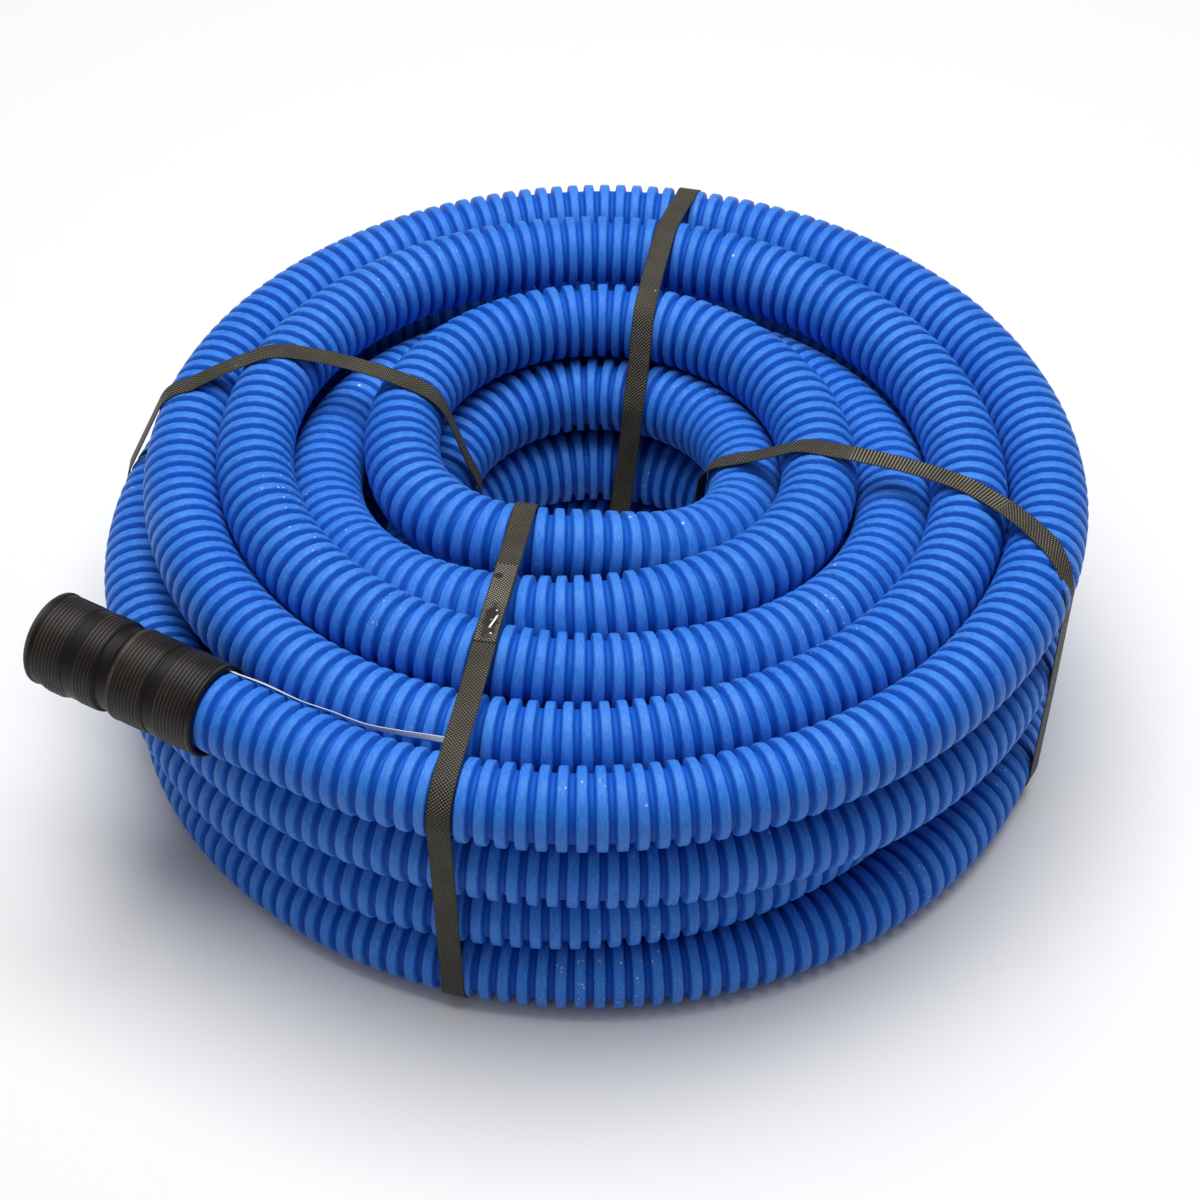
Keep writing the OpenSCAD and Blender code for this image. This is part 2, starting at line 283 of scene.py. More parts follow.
def ribbed_length(name, first, last):
    """The hose from one rib to another, as a wall with an outside and a bore.

    Row by row, s walks forward along the axis with the rib profile as the radius of
    its ring, then back with the bore's radius, and the last row joins the first, so
    the wall is closed. The value crest is 1 on a crest, 0 in a groove, -1 inside.
    """
    ribs = np.arange(first, last)
    s_out = np.concatenate([[first], (ribs[:, None] + RIB_PLACES).ravel(), [last]]) * pitch
    r_out = np.concatenate([[GROOVE_R], np.tile(rib_profile, len(ribs)), [GROOVE_R]])
    s_in = np.append(np.arange(first, last, BORE_EVERY), last)[::-1] * pitch
    s = np.concatenate([s_out, s_in])
    r = np.concatenate([r_out, np.full(len(s_in), BORE_R)])
    centre, side, top = frames(s)
    points = rings(centre, side, top, r, SIDES)
    uv = places(np.append(s, s[0]) / pitch, np.arange(SIDES + 1) / SIDES)
    crest = np.clip((r - GROOVE_R) / (CREST_R - GROOVE_R), -1, 1)
    crest[len(s_out):] = -1
    values = {"crest": np.repeat(crest, SIDES)}
    piece = grid_piece(name, points, uv, closed=True, values=values)
    print(name, len(ribs), "ribs,", len(piece.data.polygons), "faces")
    return piece


# %% The seven lengths that make the hose
CUT_END_RIBS = 34
FREE_END_RIBS = 72
coil_first, coil_last = CUT_END_RIBS, rib_total - FREE_END_RIBS
COIL_PARTS = 5
cuts = np.linspace(coil_first, coil_last, COIL_PARTS + 1).round().astype(int)
lengths_of_hose = [("hose_end_on_floor", 0, coil_first, "hose_cut_end")]
lengths_of_hose += [(f"hose_turns_{n + 1}", a, b, "hose_coil")
                    for n, (a, b) in enumerate(zip(cuts[:-1], cuts[1:]))]
lengths_of_hose += [("hose_to_coupler", coil_last, rib_total, "hose_free_end")]
hose_pieces = []
for name, first, last, node in lengths_of_hose:
    piece = ribbed_length(name, first, last)
    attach(piece, "coil")
    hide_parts(node)
    hose_pieces.append(piece)

# %% [markdown]
# ## Coupler
# The coupler is one moulded sleeve, so its surface is a profile turned round its
# axis. The outside could be drawn point by point, but as a radius for each place along
# it, it stays a short sum: fine gripping rings in four bands, a deep waist groove next
# to the stop ring, two narrow grooves and a lip at each mouth. One raised latch bulges
# on the underside near the free mouth, and is added to the radius on that side alone.

# %% Sizes of the sleeve
COUPLER_LENGTH = 124.0
SLEEVE_R = 28.8
SOCKET_R = 26.0
STOP_R = 22.0
GRIP_PITCH = 2.6
GRIP_HEIGHT = 0.45
GRIP_EDGE = 1.2
GRIP_BANDS = [(4, 28), (37, 58), (74.5, 88), (98, 118)]
# The waist: its depth, and from where to where its near and its far side slope
WAIST_DEPTH = 2.1
WAIST_NEAR = (62.5, 65.0)
WAIST_FAR = (72.8, 73.2)
# From, to, soft edge and height: the ridge, two narrow grooves and the two lips
COLLARS = [(58.2, 62.0, 1.4, 0.6), (33.3, 36.2, 0.6, -1.2), (94.6, 96.0, 0.5, -0.72),
           (0.4, 3.2, 0.9, 0.75), (120.6, 123.6, 0.9, 0.9)]
MOUTH_ROUND = 0.5
coupler_mouth = leave_point + LEAD_OUT * leave_dir
print("sleeve starts at", coupler_mouth.round(1))


# %% Radius of the sleeve's outside
def smooth(x, start, end):
    """0 before start, 1 after end, and 3t^2 - 2t^3 between them."""
    t = np.clip((x - start) / (end - start), 0, 1)
    return t * t * (3 - 2 * t)


def band(x, start, end, edge):
    """1 from start to end, with soft edges that lie inside."""
    return smooth(x, start, start + edge) * (1 - smooth(x, end - edge, end))


def sleeve_radius(x):
    """Outside radius at x millimetres from the hose's mouth of the sleeve.

    A plain radius, plus a squared cosine wave in the gripping bands, plus a soft-edged
    step for each collar, less the waist, whose far side is steep.
    """
    grips = sum(band(x, *ends, GRIP_EDGE) for ends in GRIP_BANDS)
    wave = (0.5 + 0.5 * np.cos(2 * math.pi * x / GRIP_PITCH)) ** 2
    collars = sum(height * band(x, start, end, edge) for start, end, edge, height in COLLARS)
    waist = smooth(x, *WAIST_NEAR) * (1 - smooth(x, *WAIST_FAR))
    ends = band(x, 0, COUPLER_LENGTH, MOUTH_ROUND)
    return (SLEEVE_R - MOUTH_ROUND * (1 - ends) + GRIP_HEIGHT * grips * wave
            + collars - WAIST_DEPTH * waist)


# %% The sleeve
OUTSIDE_STEP = 0.325
COUPLER_SIDES = 96
STOP_FROM, STOP_TO, STOP_BEVEL = 60.0, 64.0, 0.4
# Depth in the mouth and radius over the socket, from the mouth's edge inwards
MOUTH = [(0.1, 0.7), (0.5, 0.2), (1.0, 0.0)]
SOCKET_RINGS = (30, 90)
# Depth in the stop ring and radius over its bore, across its bevelled side
stop_rise = SOCKET_R - STOP_R
STOP_SIDE = [(-STOP_BEVEL, stop_rise), (0, stop_rise - STOP_BEVEL), (0, STOP_BEVEL),
             (STOP_BEVEL, 0)]
inside = [(COUPLER_LENGTH - depth, SOCKET_R + over) for depth, over in MOUTH]
inside += [(SOCKET_RINGS[1], SOCKET_R)]
inside += [(STOP_TO - depth, STOP_R + over) for depth, over in STOP_SIDE]
inside += [(STOP_FROM + depth, STOP_R + over) for depth, over in STOP_SIDE[::-1]]
inside += [(SOCKET_RINGS[0], SOCKET_R)]
inside += [(depth, SOCKET_R + over) for depth, over in MOUTH[::-1]]
inside = np.array(inside)
x_out = np.arange(0, COUPLER_LENGTH + OUTSIDE_STEP / 2, OUTSIDE_STEP)
x = np.concatenate([x_out, inside[:, 0]])

# The latch: from, to and soft edge along the sleeve, then its angle and half width
LATCH_ALONG = (96.4, 115.0, 5.0)
LATCH_TURN, LATCH_HALF_WIDTH, LATCH_FLAT = 226.6, 34.0, 0.55
LATCH_HEIGHT = 1.3
around = 360 * np.arange(COUPLER_SIDES) / COUPLER_SIDES
latch = band(x_out, *LATCH_ALONG)[:, None] * (1 - smooth(
    abs(around - LATCH_TURN), LATCH_FLAT * LATCH_HALF_WIDTH, LATCH_HALF_WIDTH))
r = np.concatenate([sleeve_radius(x_out)[:, None] + LATCH_HEIGHT * latch,
                    np.repeat(inside[:, 1:], COUPLER_SIDES, 1)])
side = unit(np.cross(leave_dir, UP))
same = np.ones((len(x), 1))
points = rings(coupler_mouth + x[:, None] * leave_dir, same * side, same * UP, r, COUPLER_SIDES)
print("sleeve:", points.shape[:2], "points, radius up to", round(r.max(), 2), "mm")

# %% The sleeve's mesh, with the height of each place for the finish
DEEPEST = -1.5
HEIGHT_SPAN = 2.6
raised = (r - SLEEVE_R - DEEPEST).ravel() / HEIGHT_SPAN
outside = np.repeat(np.arange(len(x)) < len(x_out), COUPLER_SIDES)
coupler = grid_piece("coupler_sleeve", points,
                     places(np.append(x, x[0]), np.arange(COUPLER_SIDES + 1) / COUPLER_SIDES),
                     closed=True, values={"raised": raised, "outside": outside})
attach(coupler, "coupler")
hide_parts("coupler")
print("coupler:", len(coupler.data.polygons), "faces")

POINTS_PER_RIB = 3
for piece, (name, first, last, node) in zip(hose_pieces, lengths_of_hose):
    path = along(np.linspace(first, last, POINTS_PER_RIB * (last - first)) * pitch) * MM
    in_sleeve = node == "hose_free_end"
    (last - first) * pitch * MM
print("declared", len(hose_pieces), "lengths as cords")

# %% [markdown]
# ## Draw tape
# A thin tape lies loose in the bore, for pulling a line through. Its end is folded
# back over the hose's mouth, is held there by the coupler, and comes out along the
# hose into the valley beside it. It is a flat section carried along a curve, whose
# width turns slowly as the tape runs out. A curve object would twist the section by a
# rule of its own, so the direction of its width is worked out here for each point.

# %% A flat section, and a curve through points
def flat_section(width, thickness):
    """Twelve points round a flat bar, as (across, out) pairs.

    Its faces are flat, and each edge is rounded in three steps within 1.4 times half
    its thickness.
    """
    w, t = width / 2, thickness / 2
    half = [(w, 0), (w - 0.12 * t, 0.55 * t), (w - 0.6 * t, 0.92 * t), (w - 1.4 * t, t)]
    section = half + [(0, t)] + [(-a, b) for a, b in half[::-1]]
    section += [(-a, -b) for a, b in section[1:-1]]
    return np.array(section)


def through(knots, per_span):
    """Points of a cubic through the knots, with per_span steps from one to the next.

    Its slope at a knot is half the step from the knot before to the one after.
    """
    knots = np.asarray(knots, float)
    spots = np.arange((len(knots) - 1) * per_span + 1) / per_span
    i = np.minimum(spots.astype(int), len(knots) - 2)
    t = (spots - i)[:, None]
    a, b, c, d = [knots[np.clip(i + k, 0, len(knots) - 1)] for k in (-1, 0, 1, 2)]
    return 0.5 * (2 * b + (c - a) * t + (2 * a - 5 * b + 4 * c - d) * t**2
                  + (3 * b - a - 3 * c + d) * t**3)


def ribbon(line, across, width, thickness, loop=False):
    """The grid of a flat section carried along a line.

    Its width points along across, less what of it lies along the line, so that the
    section stays square to the line.
    """
    ahead = np.roll(line, -1, 0) - np.roll(line, 1, 0)
    if not loop:
        ahead[0], ahead[-1] = line[1] - line[0], line[-1] - line[-2]
    ahead = unit(ahead)
    wide = unit(across - (across * ahead).sum(1, keepdims=True) * ahead)
    out = np.cross(wide, ahead)
    section = flat_section(width, thickness)
    return (line[:, None] + section[None, :, :1] * wide[:, None]
            + section[None, :, 1:] * out[:, None])


# %% The tape
TAPE_WIDTH = 4.0
TAPE_THICKNESS = 0.6
TAPE_CLEARANCE = 0.1
TAPE_SIDE = math.radians(42)
hose_tip = leave_point + straight_out * leave_dir
fold_dir = math.cos(TAPE_SIDE) * UP + math.sin(TAPE_SIDE) * side
BORE_RIDE = 17.3
CREST_RIDE = HOSE_D / 2 + TAPE_THICKNESS / 2 + TAPE_CLEARANCE
FOLD_REACH, FOLD_CORNER = 1.2, 1.5
PAST_MOUTH = 4
# How far beyond the hose's end and how far from its axis: out along the bore, over
# the edge and back along the crests until it leaves the sleeve
FOLD = [(reach, BORE_RIDE) for reach in (-40, -20, -3, FOLD_REACH / 2)]
FOLD += [(FOLD_REACH, BORE_RIDE + FOLD_CORNER), (FOLD_REACH, CREST_RIDE - FOLD_CORNER)]
FOLD += [(reach, CREST_RIDE)
         for reach in (FOLD_REACH / 2, -3, -20, -40, -COUPLER_GRIP - PAST_MOUTH)]
folded = [hose_tip + reach * leave_dir + ride * fold_dir for reach, ride in FOLD]
TAPE_FREE = [[-190, -216, 175], [-168, -229, 174], [-150, -236, 172], [-130, -243, 168],
             [-110, -248, 167], [-92, -252, 167], [-80, -256, 168], [-70, -258, 167]]
free_run = [np.array(place) + FLOOR_RISE * UP for place in TAPE_FREE]
TAPE_SPAN = 8
TIP_ACROSS = np.array([-0.2, -0.5, -0.8])
tape_line = np.concatenate([through(folded, TAPE_SPAN)[:-1],
                            through([folded[-1]] + free_run, TAPE_SPAN)])
knots_done = np.arange(len(tape_line)) / TAPE_SPAN
turned = np.clip((knots_done - len(folded)) / (len(free_run) - 1), 0, 1)[:, None]
tape_across = (1 - turned) * np.cross(leave_dir, fold_dir) + turned * TIP_ACROSS
tape_points = ribbon(tape_line, tape_across, TAPE_WIDTH, TAPE_THICKNESS)
tape_marks = lengths_of(tape_line)
section_share = np.linspace(0, 1, tape_points.shape[1] + 1)
tape = grid_piece("draw_tape_ribbon", tape_points, places(tape_marks, section_share))
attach(tape, "coil")
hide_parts("draw_tape")
print("draw tape:", round(tape_marks[-1]), "mm")

# %% [markdown]
# ## Straps
# Four flat straps hold the pile. Each goes down through the eye, under the coil and
# up its outside, and is drawn tight, so it touches a turn only where that turn bulges
# and runs straight from one to the next, as a string drawn round a bundle of pipes.
# That string is worked out, and the strap's flat section is carried round it. Cloth
# could be pulled tight in a simulation instead, but would only come near to it.

# %% The string round every turn that a strap crosses
STRAP_WIDTH = 14.5
STRAP_THICKNESS = 0.8
STRAP_GAP = 0.15
LOOKS = 1440
STRAP_STEP = 2.0
TOP_FROM, BOTTOM_FROM = 150, 40


def strap_line(heading, over, under):
    """A strap's middle line, closed, with its sideways direction and its lengths.

    over gives the sideways offset of the top run and under that of the bottom run, as
    (distance from the coil's axis, offset) pairs. A turn shows in the strap's width as
    a circle. In each direction the string touches the circle that reaches furthest,
    which is the one whose middle, measured that way, plus its radius is the greatest.
    """
    h = math.radians(heading)
    outward = np.array([math.cos(h), math.sin(h), 0])
    across = np.array([-math.sin(h), math.cos(h), 0])
    over, under = np.array(over, float), np.array(under, float)
    bend = np.polyfit(over[:, 0], over[:, 1], min(3, len(over) - 1))

    def offset(s, z):
        top = np.polyval(bend, np.clip(s, over[0, 0], over[-1, 0]))
        return top + smooth(z, TOP_FROM, BOTTOM_FROM) * (np.interp(s, *under.T) - top)

    s, sideways, z = fine_axis @ outward, fine_axis @ across, fine_axis[:, 2]
    beside = np.maximum(0, abs(sideways - offset(s, z)) - STRAP_WIDTH / 2)
    seen = (beside < CREST_R) & (s > 0)
    reach = np.sqrt(CREST_R**2 - beside[seen]**2) + STRAP_GAP + STRAP_THICKNESS / 2
    a = 2 * math.pi * np.arange(LOOKS) / LOOKS
    facing = np.stack([np.cos(a), np.sin(a)], axis=1)
    middles = np.stack([s[seen], z[seen]], axis=1)
    best = np.argmax(middles @ facing.T + reach[:, None], axis=0)
    loop = middles[best] + reach[best, None] * facing
    loop = np.append(loop, loop[:1], axis=0)
    marks = lengths_of(loop)
    count = round(marks[-1] / STRAP_STEP)
    spots = np.arange(count) * marks[-1] / count
    flat = along(spots, loop, marks)
    line = (flat[:, :1] * outward + offset(flat[:, 0], flat[:, 1])[:, None] * across
            + flat[:, 1:] * UP)
    return line, np.repeat(across[None], count, 0), spots


# %% The four straps: heading in degrees, then the offsets of the top and bottom runs
STRAPS = {
    "front": (255.4, [(60, -23), (120, -18), (186, -11), (240, -7), (285, -6), (312, -3)],
              [(60, -14), (320, -4)]),
    "right": (332.0, [(92, 63), (192, 76), (243, 71), (298, 48), (321, 29)],
              [(50, 60), (320, 34)]),
    "back": (76.4, [(130, -4), (161, -2), (283, -3)], [(100, 2), (310, -3)]),
    "left": (180.0, [(80, -48), (103, -55), (127, -69), (156, -76), (183, -77), (210, -76),
                     (235, -71), (262, -62)], [(60, -50), (300, -58)]),
}
# Where the tool has crimped a strap's top run: from, to and soft edge
CRIMPED = {"right": (150, 262, 6.0)}
section_across = np.append(flat_section(STRAP_WIDTH, 1)[:, 0], STRAP_WIDTH / 2)


def reach_of(line, across):
    """How far each point of a strap's line lies from the coil's axis."""
    return line @ np.cross(across[0], UP)


straps, strap_lines = {}, {}
for name, (heading, over, under) in STRAPS.items():
    line, across, marks = strap_line(heading, over, under)
    points = ribbon(line, across, STRAP_WIDTH, STRAP_THICKNESS, loop=True)
    uv = places(np.append(marks, marks[-1] + STRAP_STEP), section_across)
    pressed = np.zeros(points.shape[:2])
    if name in CRIMPED:
        on_top = line[:, 2] > TOP_FROM
        pressed += (band(reach_of(line, across), *CRIMPED[name]) * on_top)[:, None]
    piece = grid_piece(f"strap_band_{name}", points, uv, closed=True,
                       values={"pressed": pressed})
    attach(piece, "coil")
    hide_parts(f"strap_{name}")
    straps[name], strap_lines[name] = piece, (line, across)
    print("strap", name, "is", round(marks[-1]), "mm round")

# %% [markdown]
# ## The welded joint
# A strap is closed by laying one end over the other and melting the two together. On
# the front strap the joint shows: a second layer of eight centimetres, with a scar
# near its outer end. The layer is a short ribbon on the same line, one thickness
# further out, and its UV map is measured from the scar.

# %% The second layer
JOINT_FROM, JOINT_TO, SCAR_AT = 128.0, 205.0, 186.0
LAP_RISE = STRAP_THICKNESS + 0.03
LAP_WIDTH = STRAP_WIDTH - 0.5
LAP_THICKNESS = STRAP_THICKNESS - 0.1
front_line, front_across = strap_lines["front"]
front_reach = reach_of(front_line, front_across)
on_top = front_line[:, 2] > TOP_FROM
in_joint = (front_reach > JOINT_FROM) & (front_reach < JOINT_TO) & on_top
lap, lap_across, lap_reach = front_line[in_joint], front_across[in_joint], front_reach[in_joint]
lap_out = np.cross(lap_across, unit(np.gradient(lap, axis=0)))
lap_out *= np.sign(lap_out[:, 2:])
lap_points = ribbon(lap + LAP_RISE * lap_out, lap_across, LAP_WIDTH, LAP_THICKNESS)
lap_piece = grid_piece("strap_joint_front", lap_points,
                       places(lap_reach - SCAR_AT, section_across))
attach(lap_piece, "coil")
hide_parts("strap_front")
print("joint:", len(lap), "rows from", round(lap_reach.min()), "to", round(lap_reach.max()))

# %% [markdown]
# ## Finishes as arithmetic
# A finish is a small network of nodes. Written as arithmetic it stays readable: a
# signal stands for one output, and adding or multiplying signals adds the Math nodes.
# Every finish below starts from where the pattern lies on the piece: the UV map for
# what follows the surface, and the object's own coordinates for wear and dust.

# %% A signal
class Signal:
    """One output of a finish's nodes. Arithmetic on it adds Math nodes."""

    def __init__(self, finish, socket):
        self.finish, self.socket = finish, socket

    def math(self, operation, *others):
        """One Math node on this signal and the others."""
        values = dict(enumerate((self, *others)))
        return self.finish.node("ShaderNodeMath", {"operation": operation}, values)

    def __add__(self, other):
        return self.math("ADD", other)

    def __mul__(self, other):
        return self.math("MULTIPLY", other)

    def __sub__(self, other):
        return self.math("SUBTRACT", other)

    def __neg__(self):
        return self * -1

    def __rsub__(self, other):
        return -self + other

    __radd__, __rmul__ = __add__, __mul__

    def sine(self):
        """The sine of the signal, taken in radians."""
        return self.math("SINE")

    def size(self):
        """The signal without its sign."""
        return self.math("ABSOLUTE")

    def up_to_one(self):
        """The signal, or 1 where it is greater."""
        return self.math("MINIMUM", 1.0)

    def ramp(self, start, end):
        """0 at start and 1 at end, straight between them and level beyond."""
        return self.finish.node("ShaderNodeMapRange", {"clamp": True}, {
            "Value": self, "From Min": start, "From Max": end})


# %% A finish
class Finish:
    """A material under construction, round one Principled shader."""

    def __init__(self, name, **fixed):
        self.material = bpy.data.materials.new(name)
        self.material.use_nodes = True
        self.tree = self.material.node_tree
        self.shader = self.tree.nodes["Principled BSDF"]
        for key, value in fixed.items():
            self.shader.inputs[key.replace("_", " ")].default_value = value

    def node(self, kind, settings=None, values=None, output=0):
        """A node of this type: its settings first, then what goes into its sockets."""
        made = self.tree.nodes.new(kind)
        for key, value in (settings or {}).items():
            setattr(made, key, value)
        for key, value in (values or {}).items():
            if isinstance(value, Signal):
                self.tree.links.new(value.socket, made.inputs[key])
            else:
                made.inputs[key].default_value = value
        return Signal(self, made.outputs[output])

    def feed(self, **signals):
        """Links signals to the shader's sockets, named with underscores."""
        for key, value in signals.items():
            self.tree.links.new(value.socket, self.shader.inputs[key.replace("_", " ")])

    def object_place(self):
        """Where the place lies on the object, in metres."""
        return self.node("ShaderNodeTexCoord", output="Object")

    def uv(self):
        """How far along and how far round, as two signals."""
        both = self.node("ShaderNodeUVMap", {"uv_map": "along_round"})
        along_it = self.node("ShaderNodeSeparateXYZ", values={0: both})
        return along_it, Signal(self, along_it.socket.node.outputs[1])

    def value(self, name):
        """A number that the mesh stores at each point."""
        return self.node("ShaderNodeAttribute", {"attribute_name": name}, output="Fac")

    def vector(self, x=0.0, y=0.0, z=0.0):
        """One place out of three signals or numbers."""
        return self.node("ShaderNodeCombineXYZ", values={0: x, 1: y, 2: z})

    def length_of(self, place):
        """How far the place lies from the middle of its coordinates."""
        return self.node("ShaderNodeVectorMath", {"operation": "LENGTH"}, {0: place}, "Value")

    def noise(self, place, scale, detail=2.0, roughness=0.5):
        """Soft random values near 0.5, with spots about 1 / scale across."""
        return self.node("ShaderNodeTexNoise", values={
            "Vector": place, "Scale": scale, "Detail": detail, "Roughness": roughness})

    def specks(self, place, scale, share, size):
        """1 in round specks: a random share of the cells of a grid holds one each."""
        cell = self.node("ShaderNodeTexVoronoi", {"feature": "F1"},
                         {"Vector": place, "Scale": scale})
        cell_colour = Signal(self, cell.socket.node.outputs["Color"])
        chance = self.node("ShaderNodeSeparateColor", values={0: cell_colour})
        return (1 - cell.ramp(0.6 * size, size)) * chance.math("LESS_THAN", share)

    def blend(self, first, second, share):
        """The first colour, or the second where share is 1."""
        colour = lambda c: c if isinstance(c, Signal) else (*c, 1)
        return self.node("ShaderNodeMix", {"data_type": "RGBA"},
                         {0: share, 6: colour(first), 7: colour(second)}, output=2)

    def bump(self, height, distance, strength=1.0):
        """A normal bent by a height whose value of 1 stands for distance metres."""
        return self.node("ShaderNodeBump", values={
            "Height": height, "Distance": distance, "Strength": strength})


# %% [markdown]
# ## Blue hose finish
# The skin is coloured through, so its blue hardly changes: the grooves are painted a deeper
# blue as painted shade, and the crests paler, partly as rubbing and partly as painted
# highlight. What tells the eye that it is moulded hose are faint marks that run round each
# rib, a few white scuffs and specks of grit, and a soft even gloss. A pattern over a plain
# tube would drift off the ribs, so the mesh stores at each point how far up a crest it
# lies, and the colours follow that number.

# %% The blue
# The groove colour is painted shade: a deeper blue where the grooves lie in shade.
BLUE_GROOVE_SHADE = (0.002, 0.070, 0.42)
BLUE_SKIN = (0.012, 0.122, 0.57)
# The paler crest colour is partly rubbing and partly painted highlight.
BLUE_RUBBED_HIGHLIGHT = (0.058, 0.228, 0.70)
SCUFF = (0.62, 0.70, 0.85)
SHEEN_BLUE = (0.40, 0.62, 1.0, 1.0)
STREAK_ROUND = 4.5
blue = Finish("blue_corrugated_skin", Specular_IOR_Level=0.34, Specular_Tint=SHEEN_BLUE)
crest, (ribs_along, share_round) = blue.value("crest"), blue.uv()
spot = blue.object_place()
# Noise read on a circle has no seam. The small circle draws its spots out round the rib
turn_round = share_round * 2 * math.pi
round_place = blue.vector(ribs_along * RIB_PITCH, turn_round.sine() * STREAK_ROUND,
                          (turn_round + math.pi / 2).sine() * STREAK_ROUND)
streaks = blue.noise(round_place, 1.1, 4.0, 0.7)
mottle = blue.noise(spot, 16.0, 3.0)
grain = blue.noise(spot, 700.0, 2.0)
on_crest = crest.ramp(0.35, 1.0)
# Painted shade: towards the grooves the skin goes to the deeper groove blue.
skin = blue.blend(BLUE_GROOVE_SHADE, BLUE_SKIN, crest.ramp(-0.2, 0.75))
# Crests go paler, patchy with the streaks and mottle: rubbing and painted highlight.
rubbed_and_highlight = on_crest * (0.10 + 0.75 * streaks.ramp(0.36, 0.68) + 0.30 * mottle.ramp(0.42, 0.68))
skin = blue.blend(skin, BLUE_RUBBED_HIGHLIGHT, rubbed_and_highlight)
print("blue skin:", len(blue.tree.nodes), "nodes so far")

# %% Scuffs and grit on the blue
cluster = blue.noise(spot, 11.0, 1.0).ramp(0.60, 0.66)
scuffs = blue.specks(spot, 310.0, 0.36, 0.24) * cluster + blue.specks(spot, 150.0, 0.012, 0.20)
scuffs = scuffs.up_to_one() * grain.ramp(0.30, 0.50) * on_crest
scratches = blue.noise(round_place, 2.2, 2.0).ramp(0.66, 0.73) * mottle.ramp(0.50, 0.62)
scratches = scratches * on_crest
skin = blue.blend(skin, SCUFF, (0.75 * scuffs + 0.28 * scratches).up_to_one())
skin_relief = 0.6 * streaks + 0.4 * grain
blue.feed(Base_Color=skin,
          Roughness=0.50 - 0.14 * on_crest + 0.16 * streaks + 0.2 * scuffs,
          Normal=blue.bump(skin_relief, 0.00035, 0.8))
for piece in hose_pieces:
    piece.data.materials.append(blue.material)
print("blue finish:", len(blue.tree.nodes), "nodes")

# %% [markdown]
# ## Black coupler finish
# The sleeve is moulded from a harder black plastic with a satin surface, and its sharp
# gripping rings are painted a brownish grey on their tops, partly as wear and partly as
# painted highlight. This could be painted by hand, but the mesh stores how high each point
# stands, so it lands on the rings by itself.
# Faint lines round the sleeve are noise on the UV map, read almost along it alone.

# %% The black
BLACK_BODY = (0.0025, 0.0021, 0.0020)
# The brownish grey of the ring tops is partly wear and partly painted highlight.
BLACK_RUBBED_HIGHLIGHT = (0.080, 0.060, 0.052)
black = Finish("black_moulded_sleeve", Specular_IOR_Level=0.24)
spot, raised = black.object_place(), black.value("raised")
along_sleeve, round_sleeve = black.uv()
cloud, grain = black.noise(spot, 38.0, 3.0), black.noise(spot, 900.0, 2.0)
around_lines = black.noise(black.vector(along_sleeve * 1.4, round_sleeve), 2.4, 3.0)
# Outside ring tops go paler, patchy with the cloud: wear and painted highlight.
rub_and_highlight = raised.ramp(0.58, 0.85) * cloud.ramp(0.30, 0.75) * black.value("outside")
body = black.blend(BLACK_BODY, BLACK_RUBBED_HIGHLIGHT, rub_and_highlight + 0.14 * around_lines.ramp(0.4, 0.7))
black.feed(Base_Color=body, Roughness=0.30 + 0.16 * cloud + 0.10 * around_lines,
           Normal=black.bump(0.5 * grain + 0.5 * around_lines, 0.00012, 0.6))
coupler.data.materials.append(black.material)
print("black finish:", len(black.tree.nodes), "nodes")

# %% [markdown]
# ## Tape and strap finishes
# The tape is pale plastic with fine drawn lines along it. The straps are dark
# plastic strapping, embossed with a fine diamond grid that keeps them from slipping:
# two sets of slanting ridges on the UV map, which holds millimetres along and across,
# so they stay sharp where a picture of the grid would blur. The ridges are painted paler
# than the strap as painted glints. A strap's edges are plain, and where the tool has
# crimped it, it has cross ridges instead, painted with the same glints. A few pale specks
# are painted glints too.

# %% The pale tape
TAPE_PALE = (0.72, 0.71, 0.68)
TAPE_WORN = (0.36, 0.34, 0.31)
pale = Finish("pale_draw_tape", Specular_IOR_Level=0.5)
along_tape, round_tape = pale.uv()
lines = pale.noise(pale.vector(along_tape * 0.04, round_tape * 30.0), 2.0, 3.0)
cloud = pale.noise(pale.object_place(), 60.0, 2.0)
worn = lines.ramp(0.45, 0.8) * cloud.ramp(0.3, 0.7)
pale.feed(Base_Color=pale.blend(TAPE_PALE, TAPE_WORN, worn), Roughness=0.34 + 0.2 * lines,
          Normal=pale.bump(lines, 0.0001, 0.5))
tape.data.materials.append(pale.material)
print("pale finish:", len(pale.tree.nodes), "nodes")

# %% The dark strapping
STRAP_BODY = (0.014, 0.0125, 0.0092)
# The ridge colour is painted glint on the embossed ridges.
STRAP_RIDGE_GLINT = (0.27, 0.246, 0.195)
# On the welded layer the ridges carry a brighter painted glint.
WELDED_RIDGE_GLINT = (0.60, 0.55, 0.45)
STRAP_EDGE = (0.050, 0.046, 0.038)
# The pale speck colour is painted glints.
STRAP_SPECK_GLINT = (0.5, 0.5, 0.47)
EMBOSS = 2.3
CRIMP = 2.2
PLAIN_FROM, PLAIN_TO = 6.2, 6.8


